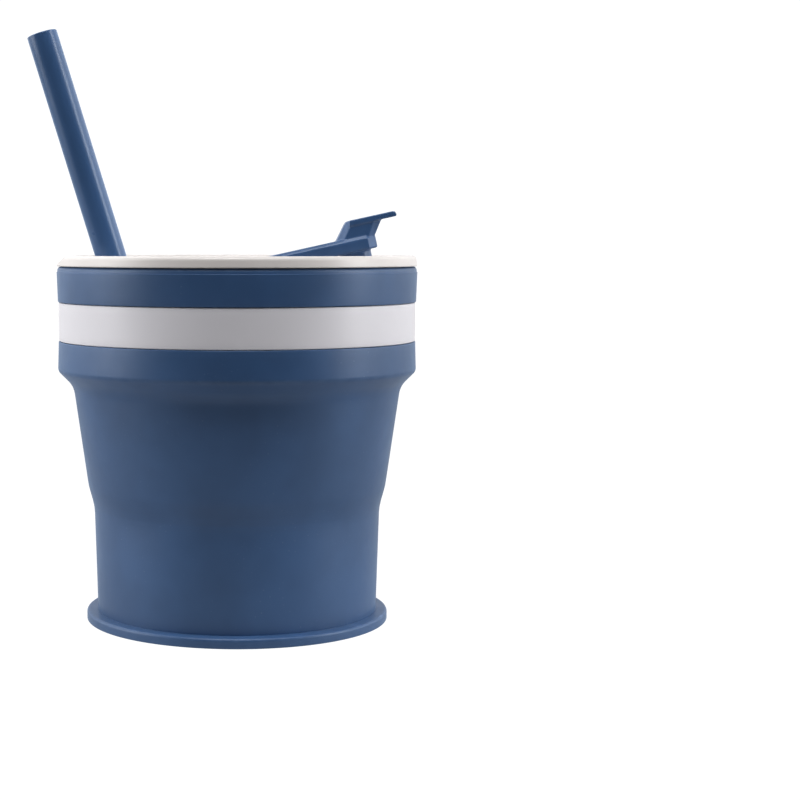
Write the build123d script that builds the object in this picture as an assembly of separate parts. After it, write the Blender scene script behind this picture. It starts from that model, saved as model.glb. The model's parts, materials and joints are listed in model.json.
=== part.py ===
from build123d import *
import math
import os

# Collapsible travel cup, millimetres. Z is the cup's own axis and z = 0 is the face it stands on.
# The straw leans out over the -X side, and the stopper lies towards the +X side.

# ---- driving dimensions ------------------------------------------------------------------------

# Cup body, one silicone moulding.
CUP_R = 47.5            # widest radius, at the rim
RIM_TOP = 93.4
FLOOR_TOP = 3.0
FOOT_R = 40.0
FOOT_TOP = 2.7
FOLD_BOTTOM = 31.0      # the thin wall that turns inside out lies between these two heights
FOLD_TOP = 62.6
MOUTH_R = 44.0          # inner radius of the upper wall

# Grip band, hard plastic, let into the upper wall.
BAND_BOTTOM = 74.1
BAND_TOP = 84.2
BAND_R = 46.95
BAND_SEAT_R = 45.6
BAND_GAP = 0.1

# Lid, hard plastic.
LID_R = 47.5
LID_TOP = 96.4
LID_SEAT = 93.7         # underside of the flange, just above the cup's rim
BASIN_FLOOR = 91.3
FLOOR_THICK = 1.8
BASIN_R = 42.6          # inner edge of the lid's top face
SKIRT_BOTTOM = 88.0
SKIRT_R = 43.7
SKIRT_THICK = 1.8
LIP_OUT = 47.0          # the drinking lip is a flat bevel from here, at LIP_LOW ...
LIP_LOW = 94.0
LIP_IN = 43.0           # ... to here, at the top face

# Straw, silicone.
STRAW_R = 4.0
STRAW_BORE_R = 3.0
STRAW_LEAN = 17.0       # degrees from upright
STRAW_TOP_X = -51.0
STRAW_TOP_Z = 154.1
STRAW_END_CLEAR = 0.35  # from the lowest edge of the straw to the cup's floor

# The one hole in the lid takes the straw, or the stopper's plug once the straw is out.
# It is centred on the straw at mid-thickness of the lid's floor.
HOLE_R = 4.6
HOLE_X = STRAW_TOP_X + (STRAW_TOP_Z - BASIN_FLOOR + FLOOR_THICK / 2) * math.tan(math.radians(STRAW_LEAN))

# Stopper, silicone. Its shape is drawn with the strap level, as when the plug is in the hole.
PEG_R = 2.45
PEG_HOLE_R = 2.5
PEG_CAP_R = 7.0
PEG_CAP_TOP = 93.4
PEG_CATCH_R = 3.6
PEG_CATCH_TOP = 89.4
PEG_CATCH_BOTTOM = 87.8
BEND_X = 4.0            # the strap bends about a line along Y through this point
BEND_Z = 93.5
BEND_R = 1.6
STRAP_TOP = 95.1
STRAP_BOTTOM = 91.9
STRAP_WIDTH = 11.0
HEAD_X = 31.4
HEAD_R = 6.2
HEAD_TOP = 95.5
HEAD_BOTTOM = 91.5
PLUG_R = 4.4
PLUG_NECK_R = 4.1
PLUG_BOTTOM = 86.3
TAB_TOP = 99.1
TAB_THICK = 1.5
TAB_TIP = 44.5
TAB_WIDTH = 10.0
PARK_TILT = 12.4        # the strap's rise while the plug rests on the basin's floor


# ---- shared helpers ----------------------------------------------------------------------------

def turned(corners):
    """Solid of revolution about Z from a closed outline of (radius, height, corner rounding)."""
    points = [(radius, height) for radius, height, _ in corners]
    rounding = [corner for _, _, corner in corners]
    outline = FilletPolyline(*points, radius=rounding, close=True)
    return revolve(Plane.XZ * make_face(outline), Axis.Z, 360)


def post(radius, bottom, top, x=0.0):
    """Upright cylinder between two heights."""
    return Pos(x, 0, bottom) * Cylinder(radius, top - bottom, align=(Align.CENTER, Align.CENTER, Align.MIN))


def side_profile(points, width, rounding):
    """Solid with an outline in X and Z, as wide as width along Y and centred on Y = 0."""
    outline = FilletPolyline(*points, radius=rounding, close=True)
    return extrude(Plane.XZ * make_face(outline), amount=width / 2, both=True)


# ---- cup body ----------------------------------------------------------------------------------

def body_moulding():
    """The whole silicone moulding, outside and inside, before it is cut into its three zones."""
    outside = [
        (0, 0, 0),
        (FOOT_R, 0, 0.9),
        (FOOT_R, FOOT_TOP, 1.1),
        (37.0, FOOT_TOP, 0.6),
        (37.93, 30.2, 15),
        (39.46, 35.6, 15),
        (43.27, 62.07, 6),
        (47.27, 65.55, 2),
        (47.03, BAND_BOTTOM - BAND_GAP, 0.2),
        (BAND_SEAT_R, BAND_BOTTOM - BAND_GAP, 0),
        (BAND_SEAT_R, BAND_TOP + BAND_GAP, 0),
        (47.17, BAND_TOP + BAND_GAP, 0.2),
        (CUP_R, RIM_TOP, 1.3),
    ]
    inside = [
        (MOUTH_R, RIM_TOP, 1.2),
        (MOUTH_R, 66.8, 4),
        (41.72, 62.9, 5),
        (37.8, 35.9, 12),
        (36.1, 30.0, 12),
        (34.8, FLOOR_TOP, 3),
        (0, FLOOR_TOP, 0),
    ]
    return turned(outside + inside)


def body_zones():
    """The base, the folding wall and the upper wall, which meet on two level faces."""
    moulding = body_moulding()
    base = split(moulding, Plane.XY.offset(FOLD_BOTTOM), keep=Keep.BOTTOM)
    rest = split(moulding, Plane.XY.offset(FOLD_BOTTOM), keep=Keep.TOP)
    folding = split(rest, Plane.XY.offset(FOLD_TOP), keep=Keep.BOTTOM)
    upper = split(rest, Plane.XY.offset(FOLD_TOP), keep=Keep.TOP)
    return base, folding, upper


def grip_band():
    return turned([
        (BAND_SEAT_R + BAND_GAP / 2, BAND_BOTTOM, 0),
        (BAND_R, BAND_BOTTOM, 0.25),
        (BAND_R, BAND_TOP, 0.25),
        (BAND_SEAT_R + BAND_GAP / 2, BAND_TOP, 0),
    ])


# ---- lid ---------------------------------------------------------------------------------------

def lid():
    underside = BASIN_FLOOR - FLOOR_THICK
    shell = turned([
        (0, underside, 0),
        (SKIRT_R - SKIRT_THICK, underside, 0.6),
        (SKIRT_R - SKIRT_THICK, SKIRT_BOTTOM, 0),
        (SKIRT_R - 0.3, SKIRT_BOTTOM, 0.3),
        (SKIRT_R, LID_SEAT, 0),
        (LID_R, LID_SEAT, 0.3),
        (LID_R - 0.3, LID_TOP, 1.1),
        (BASIN_R, LID_TOP, 0.9),
        (BASIN_R - 1.8, BASIN_FLOOR, 1.8),
        (0, BASIN_FLOOR, 0),
    ])
    bevel_angle = math.degrees(math.atan2(LID_TOP - LIP_LOW, LIP_OUT - LIP_IN))
    cutter = Pos(-LIP_OUT, 0, LIP_LOW) * Rot(0, -bevel_angle, 0) * Box(
        40, 60, 20, align=(Align.CENTER, Align.CENTER, Align.MIN))
    shell = shell - cutter
    shell = shell - post(HOLE_R, SKIRT_BOTTOM, LID_TOP, HOLE_X)
    return shell - post(PEG_HOLE_R, SKIRT_BOTTOM, LID_TOP)


# ---- straw -------------------------------------------------------------------------------------

def straw():
    """Straight tube, cut square at both ends, from just above the cup's floor."""
    lean = math.radians(STRAW_LEAN)
    end_height = FLOOR_TOP + STRAW_END_CLEAR + STRAW_R * math.sin(lean)
    length = (STRAW_TOP_Z - end_height) / math.cos(lean)
    upright = (Align.CENTER, Align.CENTER, Align.MAX)
    tube = Cylinder(STRAW_R, length, align=upright) - Cylinder(STRAW_BORE_R, length, align=upright)
    return Pos(STRAW_TOP_X, 0, STRAW_TOP_Z) * Rot(0, -STRAW_LEAN, 0) * tube


# ---- stopper -----------------------------------------------------------------------------------

def stopper_peg():
    """Cap, peg and catch on which the stopper swivels; the strap's bend starts at the cap's flat."""
    gap = 0.15
    cap_bottom = BASIN_FLOOR + gap
    peg = post(PEG_R, PEG_CATCH_TOP, cap_bottom)
    cap = post(PEG_CAP_R, cap_bottom, PEG_CAP_TOP)
    flat = Pos(BEND_X - BEND_R - 2 * gap, 0, cap_bottom) * Box(
        PEG_CAP_R, 3 * PEG_CAP_R, PEG_CAP_R, align=(Align.MIN, Align.CENTER, Align.MIN))
    catch = post(PEG_CATCH_R, PEG_CATCH_BOTTOM, PEG_CATCH_TOP)
    catch = chamfer(catch.edges().sort_by(Axis.Z)[0], 0.9)
    return peg + (cap - flat) + catch


def stopper():
    """Strap, head, plug, riser and finger tab, tilted up to where the plug rests on the lid."""
    strap_end = HEAD_X - BEND_X
    strap = Pos(BEND_X, 0, (STRAP_TOP + STRAP_BOTTOM) / 2) * Box(
        strap_end, STRAP_WIDTH, STRAP_TOP - STRAP_BOTTOM, align=(Align.MIN, Align.CENTER, Align.CENTER))
    knuckle = Pos(BEND_X, 0, BEND_Z) * Rot(90, 0, 0) * Cylinder(BEND_R, STRAP_WIDTH)
    head = post(HEAD_R, HEAD_BOTTOM, HEAD_TOP, HEAD_X)
    head = fillet(head.edges().filter_by(GeomType.CIRCLE), 0.6)
    plug = Pos(HEAD_X, 0, 0) * turned([
        (0, PLUG_BOTTOM, 0),
        (PLUG_R, PLUG_BOTTOM, 0.8),
        (PLUG_R, 88.2, 0),
        (PLUG_NECK_R, 89.0, 0),
        (PLUG_NECK_R, HEAD_BOTTOM + 1, 0),
        (0, HEAD_BOTTOM + 1, 0),
    ])
    riser = side_profile(
        [(27.2, 94.6), (30.7, TAB_TOP), (40.6, TAB_TOP), (40.2, TAB_TOP - TAB_THICK), (38.0, 96.2), (37.2, 94.6)],
        TAB_WIDTH - 1.6, [0, 0.8, 0, 0.8, 0.8, 0])
    tab = Pos(HEAD_X, 0, TAB_TOP - TAB_THICK) * Box(
        TAB_TIP - HEAD_X, TAB_WIDTH, TAB_THICK, align=(Align.MIN, Align.CENTER, Align.MIN))
    tab = fillet(tab.edges().filter_by(Axis.Z).group_by(Axis.X)[-1], 3.0)
    level = strap + knuckle + head + plug + riser + tab
    bend = Axis((BEND_X, 0, BEND_Z), (0, -1, 0))
    return level.rotate(bend, PARK_TILT)


# ---- parts -------------------------------------------------------------------------------------

def main():
    os.makedirs("parts", exist_ok=True)
    base, folding, upper = body_zones()
    parts = {
        "cup_base": base,
        "folding_wall": folding,
        "upper_wall": upper,
        "grip_band": grip_band(),
        "lid": lid(),
        "straw": straw(),
        "stopper_peg": stopper_peg(),
        "stopper": stopper(),
    }
    for name, shape in parts.items():
        shape.label = name
        export_step(shape, f"parts/{name}.step")


main()
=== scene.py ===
"""Collapsible travel cup: silicone body that turns inside out, grip band, lid, stopper and straw."""

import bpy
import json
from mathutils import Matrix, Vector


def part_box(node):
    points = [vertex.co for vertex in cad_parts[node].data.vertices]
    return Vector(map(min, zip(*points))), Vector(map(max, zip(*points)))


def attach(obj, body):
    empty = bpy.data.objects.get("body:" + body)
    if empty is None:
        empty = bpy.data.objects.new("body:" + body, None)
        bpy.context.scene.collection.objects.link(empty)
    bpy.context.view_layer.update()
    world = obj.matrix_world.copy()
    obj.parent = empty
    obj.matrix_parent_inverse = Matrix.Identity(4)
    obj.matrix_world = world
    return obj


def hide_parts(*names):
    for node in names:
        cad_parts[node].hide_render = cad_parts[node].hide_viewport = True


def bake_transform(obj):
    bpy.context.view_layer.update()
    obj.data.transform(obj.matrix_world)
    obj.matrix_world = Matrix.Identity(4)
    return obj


bl_info = {
    "name": "Collapsible travel cup",
    "version": (1, 0, 0),
    "blender": (4, 5, 0),
    "location": "View3D > Sidebar > Travel cup",
    "description": "Builds a collapsible silicone travel cup around its packed frame",
    "category": "Object",
}

import json
import math

import bpy
from bpy.props import FloatProperty, FloatVectorProperty, IntProperty, PointerProperty
from mathutils import Matrix, Vector

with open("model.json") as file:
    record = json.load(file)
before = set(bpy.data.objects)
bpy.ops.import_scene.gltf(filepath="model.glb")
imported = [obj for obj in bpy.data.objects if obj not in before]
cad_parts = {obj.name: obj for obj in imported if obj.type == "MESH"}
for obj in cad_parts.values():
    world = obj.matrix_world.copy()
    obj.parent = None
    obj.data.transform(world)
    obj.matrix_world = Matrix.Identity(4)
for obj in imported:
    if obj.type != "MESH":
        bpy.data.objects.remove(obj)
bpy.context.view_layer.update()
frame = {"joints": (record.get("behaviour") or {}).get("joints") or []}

MM = 0.001
ROUND_STEPS = 64          # steps round the small turned parts
BASE_LOW, BASE_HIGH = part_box("cup_base")
UPPER_LOW, UPPER_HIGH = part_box("upper_wall")
BAND_LOW, BAND_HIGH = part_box("grip_band")
LID_LOW, LID_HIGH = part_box("lid")
PEG_LOW, PEG_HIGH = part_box("stopper_peg")
STOPPER_LOW, STOPPER_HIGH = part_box("stopper")
STRAW_LOW, STRAW_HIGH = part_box("straw")
JOINTS = {joint["name"]: joint for joint in frame["joints"]}


# ---- settings ----------------------------------------------------------------------------------

def length(name, description, default, low=0.0, high=0.5):
    """A size in metres that the sidebar shows with its unit."""
    return FloatProperty(name=name, description=description, default=default, min=low, max=high,
                         subtype="DISTANCE", unit="LENGTH", precision=5)


def colour(name, description, default):
    """A linear colour with alpha."""
    return FloatVectorProperty(name=name, description=description, default=(*default, 1.0), size=4,
                               min=0.0, max=1.0, subtype="COLOR")


def share(name, description, default, high=1.0):
    """A plain number from 0 up."""
    return FloatProperty(name=name, description=description, default=default, min=0.0, max=high,
                         subtype="FACTOR")


class CupBodySettings(bpy.types.PropertyGroup):
    """Sizes of the silicone body and the grip band"""

    rim_radius: length("Rim radius", "Outer radius at the rim", UPPER_HIGH.x)
    mouth_radius: length("Mouth radius", "Inner radius of the upper wall", 0.044)
    foot_radius: length("Foot radius", "Outer radius of the foot flange", BASE_HIGH.x)
    foot_thickness: length("Foot thickness", "Height of the foot flange", 0.0027)
    floor_thickness: length("Floor thickness", "Thickness of the cup's floor", 0.003)
    bead_depth: length("Rim bead", "Height of the rounded bead along the rim", 0.0012)
    segments: IntProperty(name="Segments", description="Steps round the cup", default=160, min=32, max=256)


class LidSettings(bpy.types.PropertyGroup):
    """Sizes of the lid"""

    radius: length("Flange radius", "Outer radius of the lid", LID_HIGH.x)
    floor_thickness: length("Floor thickness", "Thickness of the basin's floor", 0.0018)
    basin_depth: length("Basin depth", "Depth of the basin below the lid's top", 0.0051)
    basin_radius: length("Basin radius", "Inner radius of the lid's top face", 0.0426)
    hole_radius: length("Drink hole radius", "Radius of the hole for the straw or the plug", 0.0046)
    segments: IntProperty(name="Segments", description="Steps round the lid", default=160, min=32, max=256)


class StopperSettings(bpy.types.PropertyGroup):
    """Sizes of the stopper"""

    strap_width: length("Strap width", "Width of the strap", 0.011)
    plug_radius: length("Plug radius", "Radius of the plug", 0.0044)
    tab_width: length("Tab width", "Width of the finger tab", 0.010)
    tab_thickness: length("Tab thickness", "Thickness of the finger tab", 0.00145)
    park_tilt: FloatProperty(name="Parked tilt",
                             description="Rise of the strap while the plug rests on the lid",
                             default=math.radians(12.4), subtype="ANGLE", unit="ROTATION")


class StrawSettings(bpy.types.PropertyGroup):
    """Sizes of the straw"""

    radius: length("Straw radius", "Outer radius of the straw", STRAW_HIGH.y)
    bore_radius: length("Bore radius", "Inner radius of the straw", 0.003)
    segments: IntProperty(name="Segments", description="Steps round the straw", default=64, min=16, max=128)


class FinishSettings(bpy.types.PropertyGroup):
    """Colours and surface values"""

    silicone: colour("Silicone blue", "Colour of the cup body", (0.049, 0.110, 0.232))
    straw: colour("Straw blue", "Colour of the straw", (0.058, 0.122, 0.25))
    stopper: colour("Stopper blue", "Colour of the stopper", (0.050, 0.112, 0.238))
    lid: colour("Lid white", "Colour of the lid's plastic", (0.675, 0.645, 0.630))
    band: colour("Band white", "Colour of the band's plastic", (0.68, 0.67, 0.705))
    body_roughness: share("Body roughness", "Roughness of the matt silicone", 0.42)
    straw_roughness: share("Straw roughness", "Roughness of the smoother straw", 0.28)
    plastic_roughness: share("Plastic roughness", "Roughness of the white plastic", 0.38)


class StageSettings(bpy.types.PropertyGroup):
    """Camera, floor and lights"""

    eye_distance: length("Eye distance", "Level distance from the cup's axis to the camera", 0.4577, high=5.0)
    eye_height: length("Eye height", "Height of the camera above the floor", 0.0989, high=5.0)
    pitch: FloatProperty(name="Pitch", description="How far the camera looks down",
                         default=math.radians(5.1), subtype="ANGLE", unit="ROTATION")
    lens: FloatProperty(name="Lens", description="Focal length", default=77.7, min=10.0, max=300.0,
                        subtype="DISTANCE_CAMERA", unit="CAMERA")
    shift: FloatProperty(name="Sideways shift",
                         description="Share of the frame the cup stands left of centre",
                         default=0.20375, min=-0.5, max=0.5)


SETTINGS = {
    "cup_body": CupBodySettings,
    "cup_lid": LidSettings,
    "cup_stopper": StopperSettings,
    "cup_straw": StrawSettings,
    "cup_finish": FinishSettings,
    "cup_stage": StageSettings,
}


# ---- outlines ----------------------------------------------------------------------------------

def rounded(corners, closed=True, turn=math.radians(9)):
    """Points along a polygon of (x, z, rounding) corners, in millimetres, with each corner as an arc."""
    count = len(corners)
    points = []
    for index, (x, z, rounding) in enumerate(corners):
        here = Vector((x, z))
        if rounding <= 0 or (not closed and index in (0, count - 1)):
            points.append(here)
            continue
        before = Vector(corners[index - 1][:2]) - here
        after = Vector(corners[(index + 1) % count][:2]) - here
        bend = math.pi - before.angle(after)
        reach = rounding * math.tan(bend / 2)
        start = here + before.normalized() * reach
        inward = (before.normalized() + after.normalized()).normalized()
        middle = here + inward * rounding / math.cos(bend / 2)
        side = math.copysign(1.0, before.cross(after))
        steps = max(2, math.ceil(bend / turn))
        for step in range(steps + 1):
            spoke = start - middle
            spoke.rotate(Matrix.Rotation(-side * bend * step / steps, 2))
            points.append(middle + spoke)
    return points


def divided(points, longest, closed=True):
    """The same outline in metres, with no run longer than longest, which may depend on height."""
    dense = []
    pairs = list(zip(points, points[1:] + points[:1])) if closed else list(zip(points, points[1:]))
    for start, end in pairs:
        step = longest(start.y, end.y) if callable(longest) else longest
        pieces = max(1, math.ceil((end - start).length / step))
        for index in range(pieces):
            spot = start.lerp(end, index / pieces)
            if not dense or (spot - dense[-1]).length > 1e-4:
                dense.append(spot)
    if not closed:
        dense.append(points[-1])
    return [spot * MM for spot in dense]


# ---- modelling helpers -------------------------------------------------------------------------

def deselect():
    """Leaves nothing selected, so that an operator acts only on what is added next."""
    if bpy.context.object and bpy.context.object.mode != "OBJECT":
        bpy.ops.object.mode_set(mode="OBJECT")
    bpy.ops.object.select_all(action="DESELECT")


def only(piece):
    """Selects one object and makes it active."""
    deselect()
    piece.select_set(True)
    bpy.context.view_layer.objects.active = piece


def settle(piece):
    """Puts an object's place and turn into its mesh, so that the object sits at the origin."""
    only(piece)
    bpy.ops.object.transform_apply(location=True, rotation=True, scale=True)


def drawn_wire(name, spots, closed):
    """A wire of edges through the given points, drawn by extruding one vertex along them."""
    deselect()
    bpy.ops.mesh.primitive_plane_add(size=MM, location=spots[0])
    piece = bpy.context.object
    piece.name = name
    bpy.ops.object.mode_set(mode="EDIT")
    bpy.ops.mesh.select_all(action="SELECT")
    bpy.ops.mesh.merge(type="CENTER")
    here = Vector(spots[0])
    for spot in spots[1:]:
        bpy.ops.mesh.extrude_vertices_move(TRANSFORM_OT_translate={"value": Vector(spot) - here})
        here = Vector(spot)
    if closed:
        bpy.ops.mesh.extrude_vertices_move(TRANSFORM_OT_translate={"value": Vector(spots[0]) - here})
    bpy.ops.mesh.select_all(action="SELECT")
    bpy.ops.mesh.remove_doubles(threshold=1e-6)
    return piece


def turned(name, outline, segments, closed=True):
    """Spins an outline of (radius, height) points, in metres, once round Z."""
    piece = drawn_wire(name, [(radius, 0, height) for radius, height in outline], closed)
    bpy.ops.mesh.select_all(action="SELECT")
    bpy.ops.mesh.spin(steps=segments, angle=2 * math.pi, center=(0, 0, 0), axis=(0, 0, 1))
    bpy.ops.mesh.select_all(action="SELECT")
    bpy.ops.mesh.remove_doubles(threshold=1e-6)
    bpy.ops.mesh.normals_make_consistent(inside=False)
    bpy.ops.object.mode_set(mode="OBJECT")
    settle(piece)
    return piece


def slab(name, outline, low, high):
    """Solid with an outline of (x, z) points, in metres, between two places along Y."""
    piece = drawn_wire(name, [(x, low, z) for x, z in outline], True)
    bpy.ops.mesh.select_all(action="SELECT")
    bpy.ops.mesh.edge_face_add()
    bpy.ops.mesh.extrude_region_move(TRANSFORM_OT_translate={"value": (0, high - low, 0)})
    bpy.ops.mesh.select_all(action="SELECT")
    bpy.ops.mesh.normals_make_consistent(inside=False)
    bpy.ops.object.mode_set(mode="OBJECT")
    settle(piece)
    return piece


def hull(name, corners):
    """Convex solid through the given corners, in millimetres."""
    piece = drawn_wire(name, [Vector(corner) * MM for corner in corners], False)
    bpy.ops.mesh.select_all(action="SELECT")
    bpy.ops.mesh.convex_hull()
    bpy.ops.mesh.select_all(action="SELECT")
    bpy.ops.mesh.normals_make_consistent(inside=False)
    bpy.ops.object.mode_set(mode="OBJECT")
    settle(piece)
    return piece


def modify(piece, kind, **values):
    """Adds a modifier, sets it and applies it."""
    only(piece)
    bpy.ops.object.modifier_add(type=kind)
    modifier = piece.modifiers[-1]
    for key, value in values.items():
        setattr(modifier, key, value)
    bpy.ops.object.modifier_apply(modifier=modifier.name)


def combine(piece, tool, operation):
    """Joins a tool to a piece or cuts it away, and removes the tool."""
    modify(piece, "BOOLEAN", operation=operation, object=tool, solver="EXACT")
    only(tool)
    bpy.ops.object.delete()


def smooth(piece, angle=35):
    """Smooth shading with creases kept where faces meet more sharply than angle."""
    only(piece)
    bpy.ops.object.shade_smooth_by_angle(angle=math.radians(angle))


def finish_piece(piece, material):
    """Gives a finished piece its one material."""
    piece.data.materials.clear()
    piece.data.materials.append(material)


# ---- shader node groups ------------------------------------------------------------------------

def new_group(name, inputs, outputs):
    """An empty shader group with named sockets: inputs as (name, kind, default), outputs as (name, kind)."""
    group = bpy.data.node_groups.new(name, "ShaderNodeTree")
    for socket_name, kind, default in inputs:
        socket = group.interface.new_socket(name=socket_name, in_out="INPUT", socket_type=kind)
        socket.default_value = default
    for socket_name, kind in outputs:
        group.interface.new_socket(name=socket_name, in_out="OUTPUT", socket_type=kind)
    return group, group.nodes.new("NodeGroupInput"), group.nodes.new("NodeGroupOutput")


def math_node(tree, operation, first, second=None, clamp=False):
    """A Math node; each operand is a number or another node's socket."""
    node = tree.nodes.new("ShaderNodeMath")
    node.operation = operation
    node.use_clamp = clamp
    for index, value in enumerate((first, second)):
        if value is None:
            continue
        if isinstance(value, (int, float)):
            node.inputs[index].default_value = value
        else:
            tree.links.new(value, node.inputs[index])
    return node.outputs[0]


def noise_node(tree, place, scale, detail=2.0, roughness=0.5):
    """A Noise texture on Object coordinates; scale is a number or a socket."""
    node = tree.nodes.new("ShaderNodeTexNoise")
    tree.links.new(place, node.inputs["Vector"])
    if isinstance(scale, (int, float)):
        node.inputs["Scale"].default_value = scale
    else:
        tree.links.new(scale, node.inputs["Scale"])
    node.inputs["Detail"].default_value = detail
    node.inputs["Roughness"].default_value = roughness
    return node.outputs["Fac"]


def range_node(tree, value, low, high, to_low=0.0, to_high=1.0):
    """A smooth Map Range from low..high to to_low..to_high."""
    node = tree.nodes.new("ShaderNodeMapRange")
    node.interpolation_type = "SMOOTHSTEP"
    tree.links.new(value, node.inputs["Value"])
    for key, number in zip(("From Min", "From Max", "To Min", "To Max"), (low, high, to_low, to_high)):
        node.inputs[key].default_value = number
    return node.outputs["Result"]


def moulded_skin_group():
    """Fine grain of a moulded surface over slow waves, as a height in metres and a change of roughness."""
    group, given, out = new_group(
        "Moulded skin",
        [("Grain size", "NodeSocketFloat", 2600.0), ("Grain depth", "NodeSocketFloat", 4e-6),
         ("Wave size", "NodeSocketFloat", 45.0), ("Wave depth", "NodeSocketFloat", 5e-5),
         ("Gloss change", "NodeSocketFloat", 0.14)],
        [("Height", "NodeSocketFloat"), ("Roughness change", "NodeSocketFloat")])
    place = group.nodes.new("ShaderNodeTexCoord").outputs["Object"]
    grain = noise_node(group, place, given.outputs["Grain size"], detail=3.0, roughness=0.6)
    wave = noise_node(group, place, given.outputs["Wave size"], detail=1.0, roughness=0.4)
    grain_height = math_node(group, "MULTIPLY", math_node(group, "SUBTRACT", grain, 0.5),
                             given.outputs["Grain depth"])
    wave_height = math_node(group, "MULTIPLY", math_node(group, "SUBTRACT", wave, 0.5),
                            given.outputs["Wave depth"])
    group.links.new(math_node(group, "ADD", grain_height, wave_height), out.inputs["Height"])
    patch = noise_node(group, place, 180.0, detail=3.0, roughness=0.55)
    group.links.new(math_node(group, "MULTIPLY", math_node(group, "SUBTRACT", patch, 0.5),
                              given.outputs["Gloss change"]), out.inputs["Roughness change"])
    return group


def handling_group():
    """Where handling and dust show: worn raised edges and scattered specks, each a mask from 0 to 1."""
    group, given, out = new_group(
        "Handling",
        [("Edge reach", "NodeSocketFloat", 0.06), ("Speck size", "NodeSocketFloat", 900.0),
         ("Speck share", "NodeSocketFloat", 0.3)],
        [("Edge", "NodeSocketFloat"), ("Dust", "NodeSocketFloat")])
    place = group.nodes.new("ShaderNodeTexCoord").outputs["Object"]
    point = group.nodes.new("ShaderNodeNewGeometry").outputs["Pointiness"]
    raised = group.nodes.new("ShaderNodeMapRange")
    group.links.new(point, raised.inputs["Value"])
    raised.inputs["From Min"].default_value = 0.505
    group.links.new(math_node(group, "ADD", given.outputs["Edge reach"], 0.505), raised.inputs["From Max"])
    worn = noise_node(group, place, 320.0, detail=4.0, roughness=0.6)
    patches = range_node(group, worn, 0.35, 0.7)
    group.links.new(math_node(group, "MULTIPLY", raised.outputs["Result"], patches, clamp=True),
                    out.inputs["Edge"])
    specks = group.nodes.new("ShaderNodeTexVoronoi")
    specks.feature = "F1"
    group.links.new(place, specks.inputs["Vector"])
    group.links.new(given.outputs["Speck size"], specks.inputs["Scale"])
    speck = range_node(group, specks.outputs["Distance"], 0.05, 0.16, 1.0, 0.0)
    cloud = range_node(group, noise_node(group, place, 70.0, detail=3.0), 0.45, 0.75)
    thinned = math_node(group, "MULTIPLY", speck, cloud)
    group.links.new(math_node(group, "MULTIPLY", thinned, given.outputs["Speck share"], clamp=True),
                    out.inputs["Dust"])
    return group


def shared_group(name, maker):
    """The named group, built the first time it is asked for."""
    return bpy.data.node_groups.get(name) or maker()


# ---- materials ---------------------------------------------------------------------------------

def add_group(tree, name, maker, **values):
    """Places a shared group in a material, with values given by socket name."""
    node = tree.nodes.new("ShaderNodeGroup")
    node.node_tree = shared_group(name, maker)
    for key, value in values.items():
        node.inputs[key.replace("_", " ")].default_value = value
    return node


def mix_colour(tree, mask, first, second):
    """A colour mix of two sockets or colours by a mask socket."""
    node = tree.nodes.new("ShaderNodeMix")
    node.data_type = "RGBA"
    tree.links.new(mask, node.inputs["Factor"])
    for key, value in (("A", first), ("B", second)):
        socket = [s for s in node.inputs if s.name == key and s.type == "RGBA"][0]
        if hasattr(value, "is_linked"):
            tree.links.new(value, socket)
        else:
            socket.default_value = value
    return [s for s in node.outputs if s.type == "RGBA"][0]


def scaled(colour_value, factor, lift=0.0):
    """A colour multiplied by factor, with lift added to each channel."""
    return (*(min(1.0, channel * factor + lift) for channel in colour_value[:3]), 1.0)


def moulded_material(name, base, roughness, skin, handling, shader_values, tint=0.10, fade=0.05):
    """Moulded material: slow changes of tone, worn edges, dust, grain and waves."""
    material = bpy.data.materials.new(name)
    material.use_nodes = True
    tree = material.node_tree
    shader = tree.nodes["Principled BSDF"]
    for key, value in shader_values.items():
        shader.inputs[key].default_value = value
    place = tree.nodes.new("ShaderNodeTexCoord").outputs["Object"]
    tone = range_node(tree, noise_node(tree, place, 38.0, detail=3.0, roughness=0.55), 0.3, 0.7)
    body_colour = mix_colour(tree, tone, scaled(base, 1 - tint), scaled(base, 1 + tint))
    marks = add_group(tree, "Handling", handling_group, **handling)
    worn = mix_colour(tree, marks.outputs["Edge"], body_colour, scaled(base, 1.25, fade))
    dusted = mix_colour(tree, marks.outputs["Dust"], worn, scaled(base, 1.1, 3 * fade))
    tree.links.new(dusted, shader.inputs["Base Color"])
    surface = add_group(tree, "Moulded skin", moulded_skin_group, **skin)
    rough = math_node(tree, "ADD", surface.outputs["Roughness change"], roughness)
    dust_rough = math_node(tree, "MULTIPLY", marks.outputs["Dust"], 0.25)
    rough = math_node(tree, "ADD", rough, dust_rough, clamp=True)
    tree.links.new(rough, shader.inputs["Roughness"])
    bump = tree.nodes.new("ShaderNodeBump")
    bump.inputs["Strength"].default_value = 1.0
    bump.inputs["Distance"].default_value = 1.0
    tree.links.new(surface.outputs["Height"], bump.inputs["Height"])
    tree.links.new(bump.outputs["Normal"], shader.inputs["Normal"])
    return material


def matt_silicone(finish):
    return moulded_material(
        "matt blue silicone", finish.silicone, finish.body_roughness,
        {"Grain_size": 2600.0, "Grain_depth": 3e-6, "Wave_size": 42.0, "Wave_depth": 5e-5},
        {"Edge_reach": 0.05, "Speck_size": 700.0, "Speck_share": 0.30},
        {"IOR": 1.45, "Specular IOR Level": 0.65, "Sheen Weight": 0.17, "Sheen Roughness": 0.28,
         "Sheen Tint": (0.62, 0.80, 1.0, 1.0)})


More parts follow.
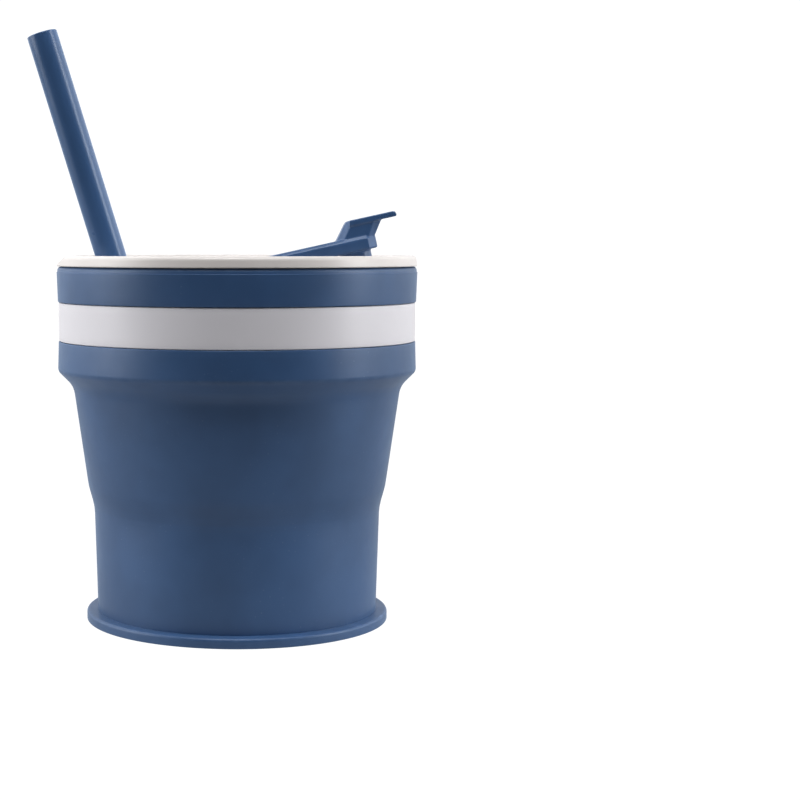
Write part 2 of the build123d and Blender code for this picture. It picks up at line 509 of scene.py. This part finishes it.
def stopper_silicone(finish):
    return moulded_material(
        "stopper blue silicone", finish.stopper, finish.body_roughness - 0.06,
        {"Grain_size": 3000.0, "Grain_depth": 2.5e-6, "Wave_size": 90.0, "Wave_depth": 2e-5},
        {"Edge_reach": 0.08, "Speck_size": 900.0, "Speck_share": 0.25},
        {"IOR": 1.45, "Specular IOR Level": 0.60, "Sheen Weight": 0.08, "Sheen Roughness": 0.3,
         "Sheen Tint": (0.62, 0.80, 1.0, 1.0)})


def straw_silicone(finish):
    return moulded_material(
        "smooth straw silicone", finish.straw, finish.straw_roughness,
        {"Grain_size": 2200.0, "Grain_depth": 1e-6, "Wave_size": 30.0, "Wave_depth": 6e-6,
         "Gloss_change": 0.03},
        {"Edge_reach": 6.0, "Speck_size": 900.0, "Speck_share": 0.05},
        {"IOR": 1.45, "Specular IOR Level": 0.6, "Sheen Weight": 0.60, "Sheen Roughness": 0.35,
         "Sheen Tint": (0.45, 0.66, 1.0, 1.0)}, tint=0.04)


def lid_plastic(finish):
    return moulded_material(
        "warm white lid plastic", finish.lid, finish.plastic_roughness - 0.06,
        {"Grain_size": 1800.0, "Grain_depth": 1.2e-6, "Wave_size": 50.0, "Wave_depth": 2e-5},
        {"Edge_reach": 0.12, "Speck_size": 800.0, "Speck_share": 0.10},
        {"IOR": 1.49, "Specular IOR Level": 0.5},
        tint=0.012, fade=0.01)


def band_plastic(finish):
    return moulded_material(
        "cool white band plastic", finish.band, finish.plastic_roughness,
        {"Grain_size": 2000.0, "Grain_depth": 1.5e-6, "Wave_size": 35.0, "Wave_depth": 2.5e-5},
        {"Edge_reach": 0.12, "Speck_size": 800.0, "Speck_share": 0.10},
        {"IOR": 1.49, "Specular IOR Level": 0.45},
        tint=0.012, fade=0.01)


# ---- pieces ------------------------------------------------------------------------------------

def body_outline(sizes):
    """Outside and inside of the silicone moulding, from the middle of the foot up and back down."""
    rim_top = UPPER_HIGH.z / MM
    rim = sizes.rim_radius / MM
    mouth = sizes.mouth_radius / MM
    foot = sizes.foot_radius / MM
    foot_top = sizes.foot_thickness / MM
    floor_top = sizes.floor_thickness / MM
    groove_low, groove_high = BAND_LOW.z / MM - 0.1, BAND_HIGH.z / MM + 0.1
    bead_low = rim_top - sizes.bead_depth / MM
    bead_top = rim_top + 0.12
    outside = [
        (0, 0.6, 0),
        (foot - 7.5, 0.6, 0.5),
        (foot - 6.6, 0, 0.5),
        (foot + 0.1, 0, 0.25),
        (foot + 0.1, foot_top - 0.1, 0.8),
        (37.15, foot_top, 0),
        (37.93, 30.2, 15),
        (39.46, 35.6, 15),
        (43.25, 62.2, 6),
        (47.27, 66.25, 1.8),
        (47.03, groove_low, 0.25),
        (45.6, groove_low, 0),
        (45.6, groove_high, 0),
        (47.17, groove_high, 0.25),
        (rim, bead_low - 0.1, 0.04),
        (rim - 0.16, bead_low, 0.04),
        (rim - 0.30, bead_top, 0.95),
    ]
    inside = [
        (mouth, bead_top, 1.2),
        (mouth, 66.8, 4),
        (41.72, 62.9, 5),
        (37.8, 35.9, 12),
        (36.1, 30.0, 12),
        (34.8, floor_top, 3),
        (0, floor_top, 0),
    ]

    def longest(start, end):
        in_fold = BASE_HIGH.z / MM - 2 < (start + end) / 2 < UPPER_LOW.z / MM + 3
        return 0.6 if in_fold else 3.0

    return divided(rounded(outside + inside, closed=False), longest, closed=False)


class TRAVELCUP_OT_body(bpy.types.Operator):
    """Build the silicone body as one skin over the base, the folding wall and the upper wall"""

    bl_idname = "travelcup.body"
    bl_label = "Cup body"

    def execute(self, context):
        sizes = context.scene.cup_body
        body = turned("silicone_body", body_outline(sizes), sizes.segments, closed=False)
        smooth(body, 40)
        finish_piece(body, matt_silicone(context.scene.cup_finish))
        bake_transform(body)
        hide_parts("cup_base", "folding_wall", "upper_wall")
        return {"FINISHED"}


class TRAVELCUP_OT_grip_band(bpy.types.Operator):
    """Build the white grip band that sits in the upper wall"""

    bl_idname = "travelcup.grip_band"
    bl_label = "Grip band"

    def execute(self, context):
        low, high, outer = BAND_LOW.z / MM, BAND_HIGH.z / MM, BAND_HIGH.x / MM
        corners = [(outer - 1.3, low, 0), (outer, low, 0.3), (outer, high, 0.3), (outer - 1.3, high, 0)]
        outline = divided(rounded(corners, turn=math.radians(15)), 2.0)
        band = turned("grip_band_ring", outline, context.scene.cup_body.segments)
        smooth(band)
        finish_piece(band, band_plastic(context.scene.cup_finish))
        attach(band, "upper")
        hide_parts("grip_band")
        return {"FINISHED"}


def lip_wedge(low, high, reach):
    """Cutter with a sloping underside through low and high, (x, z) in millimetres, and past both."""
    low, high = Vector(low), Vector(high)
    run = high - low
    start, end = low - run, high + run
    corners = [start * MM, end * MM, Vector((start.x, end.y)) * MM]
    return slab("lip_wedge", corners, -reach * MM, reach * MM)


class TRAVELCUP_OT_lid(bpy.types.Operator):
    """Build the lid: flange, basin, skirt, sloped drinking lip and the one drink hole"""

    bl_idname = "travelcup.lid"
    bl_label = "Lid"

    def execute(self, context):
        sizes = context.scene.cup_lid
        top, outer = LID_HIGH.z / MM, sizes.radius / MM
        seat, skirt_low, skirt = 93.62, LID_LOW.z / MM, 43.7
        basin_floor = top - sizes.basin_depth / MM
        underside = basin_floor - sizes.floor_thickness / MM
        basin = sizes.basin_radius / MM
        corners = [
            (2.5, underside, 0.15),
            (skirt - 1.8, underside, 0.6),
            (skirt - 1.8, skirt_low, 0.3),
            (skirt - 0.3, skirt_low, 0.3),
            (skirt, seat, 0.1),
            (outer, seat, 0.25),
            (outer - 0.35, top, 1.2),
            (basin, top, 0.9),
            (basin - 1.8, basin_floor, 1.8),
            (2.5, basin_floor, 0.15),
        ]
        outline = divided(rounded(corners), lambda a, b: 0.5 if (a + b) / 2 > seat - 0.2 else 3.0)
        lid = turned("lid_shell", outline, sizes.segments)
        lip_outer, lip_low, lip_inner, reach = -47.25, 93.98, -43.3, 30
        combine(lid, lip_wedge((lip_outer, lip_low), (lip_inner, top), reach), "DIFFERENCE")
        straw_axis = Vector(JOINTS["straw_slide"]["axis"])
        middle = Vector(((STRAW_LOW.x + STRAW_HIGH.x) / 2, 0, (STRAW_LOW.z + STRAW_HIGH.z) / 2))
        rise = (basin_floor + underside) / 2 * MM - middle.z
        hole_x = middle.x + rise * straw_axis[0] / straw_axis[2]
        hole = sizes.hole_radius / MM
        wide = hole + 0.6
        cutter_corners = [
            (0, underside - 1, 0), (wide, underside - 1, 0), (wide, underside, 0), (hole, underside, 0.35),
            (hole, basin_floor, 0.35), (wide, basin_floor, 0), (wide, basin_floor + 1, 0),
            (0, basin_floor + 1, 0)]
        cutter_outline = divided(rounded(cutter_corners, closed=False), 2.0, closed=False)
        cutter = turned("hole_cutter", cutter_outline, ROUND_STEPS, closed=False)
        cutter.location.x = hole_x
        settle(cutter)
        combine(lid, cutter, "DIFFERENCE")
        smooth(lid, 28)
        finish_piece(lid, lid_plastic(context.scene.cup_finish))
        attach(lid, "lid")
        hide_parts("lid")
        return {"FINISHED"}


class TRAVELCUP_OT_straw(bpy.types.Operator):
    """Build the straw, square cut and slightly rounded at both ends"""

    bl_idname = "travelcup.straw"
    bl_label = "Straw"

    def execute(self, context):
        sizes = context.scene.cup_straw
        axis = Vector(JOINTS["straw_slide"]["axis"])
        middle = Vector(((STRAW_LOW.x + STRAW_HIGH.x) / 2, 0, (STRAW_LOW.z + STRAW_HIGH.z) / 2))
        half = ((STRAW_HIGH.z - STRAW_LOW.z) / 2 - sizes.radius * abs(axis.x)) / axis.z / MM
        outer, bore = sizes.radius / MM, sizes.bore_radius / MM
        corners = [(outer, -half, 0.3), (outer, half, 0.3), (bore, half, 0.25), (bore, -half, 0.25)]
        outline = divided(rounded(corners, turn=math.radians(18)), 6.0)
        straw = turned("drinking_straw", outline, sizes.segments)
        straw.location = middle
        straw.rotation_euler = axis.to_track_quat("Z", "Y").to_euler()
        settle(straw)
        smooth(straw)
        finish_piece(straw, straw_silicone(context.scene.cup_finish))
        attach(straw, "straw")
        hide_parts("straw")
        return {"FINISHED"}


def drum(name, corners, x=0.0):
    """Solid of revolution about an upright axis at x, in millimetres, from an open outline."""
    outline = divided(rounded(corners, closed=False, turn=math.radians(15)), 1.5, closed=False)
    piece = turned(name, outline, ROUND_STEPS, closed=False)
    piece.location.x = x * MM
    settle(piece)
    return piece


class TRAVELCUP_OT_stopper(bpy.types.Operator):
    """Build the stopper in one piece: peg, strap with a thin bend, heel, plug, riser and finger tab"""

    bl_idname = "travelcup.stopper"
    bl_label = "Stopper"

    def execute(self, context):
        sizes = context.scene.cup_stopper
        bend = Vector(JOINTS["stopper_tilt"]["pos_m"])
        floor = PEG_HIGH.z / MM - 2.0
        cap_top = PEG_HIGH.z / MM
        peg = drum("stopper_silicone", [
            (0, 87.8, 0), (2.7, 87.8, 0.2), (3.6, 88.8, 0.3), (3.6, 89.4, 0.15), (2.4, 89.4, 0.1),
            (2.4, floor + 0.1, 0.1), (7.0, floor + 0.1, 0.4), (7.0, cap_top + 0.3, 0.9),
            (0, cap_top + 0.3, 0)])
        head_x = 31.4
        half = sizes.strap_width / MM / 2
        end = 37.25
        low, high, shoulder = 91.38, 95.15, 94.3
        hinge = slab("hinge", [spot * MM for spot in rounded([
            (-1, 92.4, 0), (5.0, 92.4, 2), (10.0, low, 2), (12.0, low, 0), (12.0, high, 0), (8.2, high, 1.5),
            (5.0, 93.8, 2), (-1, 93.8, 0)])], -(half - 0.15) * MM, (half - 0.15) * MM)
        strap = hull("strap", [
            spot for side in (-1, 1) for spot in (
                (8.8, side * half, low + 0.25), (end - 2.3, side * half, low + 0.25),
                (end, side * (half - 2.6), low + 0.25),
                (9.0, side * (half - 0.25), low), (end - 2.4, side * (half - 0.25), low),
                (end - 0.25, side * (half - 2.7), low),
                (8.8, side * half, shoulder), (end - 2.3, side * half, shoulder),
                (end, side * (half - 2.6), shoulder),
                (8.8, side * (half - 0.8), high), (end - 2.6, side * (half - 0.8), high + 0.05),
                (end - 0.8, side * (half - 3.0), high + 0.05))])
        heel = hull("heel", [
            spot for side in (-1, 1) for spot in (
                (32.0, side * (half - 1.6), 94.5), (end - 1.9, side * (half - 1.6), 94.5),
                (end, side * (half - 3.2), 94.5), (32.0, side * (half - 2.2), high + 0.7),
                (end - 1.9, side * (half - 2.2), high + 0.7), (end - 0.1, side * (half - 3.6), high + 0.7))])
        plug_r = sizes.plug_radius / MM
        plug = drum("plug", [
            (0, 86.3, 0), (plug_r, 86.3, 0.9), (plug_r, 88.2, 0.4), (plug_r - 0.3, 89.0, 0.4),
            (plug_r - 0.3, 92.5, 0), (0, 92.5, 0)], head_x)
        tab_half = sizes.tab_width / MM / 2
        tab_top = 99.75
        tab_low = tab_top - sizes.tab_thickness / MM
        face = tab_half - 0.25
        riser = hull("riser", [
            spot for side in (-1, 1) for spot in (
                (26.65, side * (face - 1.9), 94.8), (28.8, side * face, 94.8),
                (35.5, side * face, 94.8), (37.3, side * (face - 1.9), 94.8),
                (29.9, side * (face - 1.9), 98.9), (32.2, side * face, 99.4),
                (37.7, side * face, 98.6), (39.9, side * (face - 1.9), 98.6),
                (30.6, side * (face - 1.9), tab_top - 0.1))])
        tab = slab("tab", [spot * MM for spot in rounded([
            (31.1, tab_low, 0), (43.85, tab_low, 0.4), (43.4, tab_top, 0.6), (31.1, tab_top, 0.4)])],
            -tab_half * MM, tab_half * MM)
        upper = strap
        for part in (hinge, plug, heel, riser, tab):
            combine(upper, part, "UNION")
        tilt = Matrix.Rotation(-sizes.park_tilt, 3, "Y")
        upper.location = bend - tilt @ bend
        upper.rotation_euler = tilt.to_euler()
        settle(upper)
        combine(peg, upper, "UNION")
        modify(peg, "REMESH", mode="VOXEL", voxel_size=0.2 * MM)
        modify(peg, "SMOOTH", factor=0.5, iterations=9)
        smooth(peg, 60)
        finish_piece(peg, stopper_silicone(context.scene.cup_finish))
        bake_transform(peg)
        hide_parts("stopper_peg", "stopper")
        return {"FINISHED"}


# ---- stage -------------------------------------------------------------------------------------

def soft_light(name, place, target, width, height, power):
    """A large rectangular light that faces a point."""
    deselect()
    bpy.ops.object.light_add(type="AREA", location=place)
    light = bpy.context.object
    light.name = name
    light.data.shape = "RECTANGLE"
    light.data.size, light.data.size_y = width, height
    light.data.energy = power
    light.rotation_euler = (Vector(target) - Vector(place)).to_track_quat("-Z", "Y").to_euler()
    return light


def studio_world(scene):
    """White surroundings that are dimmer towards the camera's side of the room."""
    world = bpy.data.worlds.new("studio")
    scene.world = world
    world.use_nodes = True
    tree = world.node_tree
    backdrop = tree.nodes["Background"]
    direction = tree.nodes.new("ShaderNodeTexCoord").outputs["Generated"]
    split = tree.nodes.new("ShaderNodeSeparateXYZ")
    tree.links.new(direction, split.inputs["Vector"])
    rising = range_node(tree, split.outputs["Y"], -0.70, 0.20, 0.0, 2.1)
    falling = range_node(tree, split.outputs["Y"], 0.35, 0.95, 1.0, 0.5)
    above = range_node(tree, split.outputs["Z"], 0.30, 0.80, 1.0, 0.12)
    side = math_node(tree, "MULTIPLY", math_node(tree, "MULTIPLY", rising, falling), above)
    seen = tree.nodes.new("ShaderNodeLightPath").outputs["Is Camera Ray"]
    strength = math_node(tree, "MAXIMUM", side, math_node(tree, "MULTIPLY", seen, 1.0))
    tree.links.new(strength, backdrop.inputs["Strength"])
    backdrop.inputs["Color"].default_value = (1.0, 1.0, 1.0, 1.0)


def light_table():
    """White floor, lit from below round the cup, so that it throws soft light up at the shoulder."""
    material = bpy.data.materials.new("white light table")
    material.use_nodes = True
    tree = material.node_tree
    shader = tree.nodes["Principled BSDF"]
    shader.inputs["Base Color"].default_value = (0.5, 0.5, 0.5, 1.0)
    shader.inputs["Roughness"].default_value = 0.9
    split = tree.nodes.new("ShaderNodeSeparateXYZ")
    tree.links.new(tree.nodes.new("ShaderNodeTexCoord").outputs["Object"], split.inputs["Vector"])
    near = range_node(tree, split.outputs["Y"], -0.26, -0.12, 0.02, 0.74)
    seen = tree.nodes.new("ShaderNodeLightPath").outputs["Is Camera Ray"]
    glow = tree.nodes.new("ShaderNodeEmission")
    tree.links.new(math_node(tree, "MAXIMUM", near, math_node(tree, "MULTIPLY", seen, 1.08)),
                   glow.inputs["Strength"])
    mix = tree.nodes.new("ShaderNodeMixShader")
    mix.inputs[0].default_value = 0.93
    tree.links.new(shader.outputs[0], mix.inputs[1])
    tree.links.new(glow.outputs[0], mix.inputs[2])
    tree.links.new(mix.outputs[0], tree.nodes["Material Output"].inputs["Surface"])
    return material


class TRAVELCUP_OT_stage(bpy.types.Operator):
    """Set up the pale floor, the soft lights and the camera"""

    bl_idname = "travelcup.stage"
    bl_label = "Stage"

    def execute(self, context):
        stage = context.scene.cup_stage
        deselect()
        bpy.ops.mesh.primitive_plane_add(size=8.0, location=(0, 0, 0))
        floor = bpy.context.object
        floor.name = "floor"
        floor.data.materials.append(light_table())

        studio_world(context.scene)
        middle = (0, 0, UPPER_HIGH.z / 2)
        soft_light("left softbox", (-0.83, -0.14, 0.30), middle, 0.5, 0.9, 4.2)
        soft_light("right softbox", (0.80, -0.18, 0.32), middle, 0.24, 0.9, 4.2)
        soft_light("overhead", (0, -0.34, 0.97), middle, 0.7, 0.3, 6.8)
        soft_light("high left back", (-0.45, 0.40, 0.80), middle, 0.5, 0.5, 2.2)

        deselect()
        bpy.ops.object.camera_add(location=(0, -stage.eye_distance, stage.eye_height),
                                  rotation=(math.pi / 2 - stage.pitch, 0, 0))
        camera = bpy.context.object
        camera.name = "camera"
        camera.data.lens = stage.lens
        camera.data.shift_x = stage.shift
        camera.data.clip_start = 0.01
        camera.data.dof.use_dof = False
        context.scene.camera = camera
        context.scene.view_settings.view_transform = "Standard"
        context.scene.view_settings.gamma = 0.84
        return {"FINISHED"}


# ---- panel and registration --------------------------------------------------------------------

OPERATORS = (TRAVELCUP_OT_body, TRAVELCUP_OT_grip_band, TRAVELCUP_OT_lid, TRAVELCUP_OT_straw,
             TRAVELCUP_OT_stopper, TRAVELCUP_OT_stage)


class TRAVELCUP_PT_sidebar(bpy.types.Panel):
    """Lists the cup's pieces and their settings"""

    bl_idname = "TRAVELCUP_PT_sidebar"
    bl_label = "Travel cup"
    bl_space_type = "VIEW_3D"
    bl_region_type = "UI"
    bl_category = "Travel cup"

    def draw(self, context):
        layout = self.layout
        for operator in OPERATORS:
            layout.operator(operator.bl_idname)
        for name, group in SETTINGS.items():
            box = layout.box()
            box.label(text=name.replace("_", " "))
            for key in group.__annotations__:
                box.prop(getattr(context.scene, name), key)


def register():
    for group in SETTINGS.values():
        bpy.utils.register_class(group)
    for name, group in SETTINGS.items():
        setattr(bpy.types.Scene, name, PointerProperty(type=group))
    for operator in OPERATORS:
        bpy.utils.register_class(operator)
    bpy.utils.register_class(TRAVELCUP_PT_sidebar)


def unregister():
    bpy.utils.unregister_class(TRAVELCUP_PT_sidebar)
    for operator in reversed(OPERATORS):
        bpy.utils.unregister_class(operator)
    for name in SETTINGS:
        delattr(bpy.types.Scene, name)
    for group in reversed(list(SETTINGS.values())):
        bpy.utils.unregister_class(group)


def main():
    register()
    bpy.ops.travelcup.body()
    bpy.ops.travelcup.grip_band()
    bpy.ops.travelcup.lid()
    bpy.ops.travelcup.straw()
    bpy.ops.travelcup.stopper()
    bpy.ops.travelcup.stage()


if __name__ == "__main__":
    main()
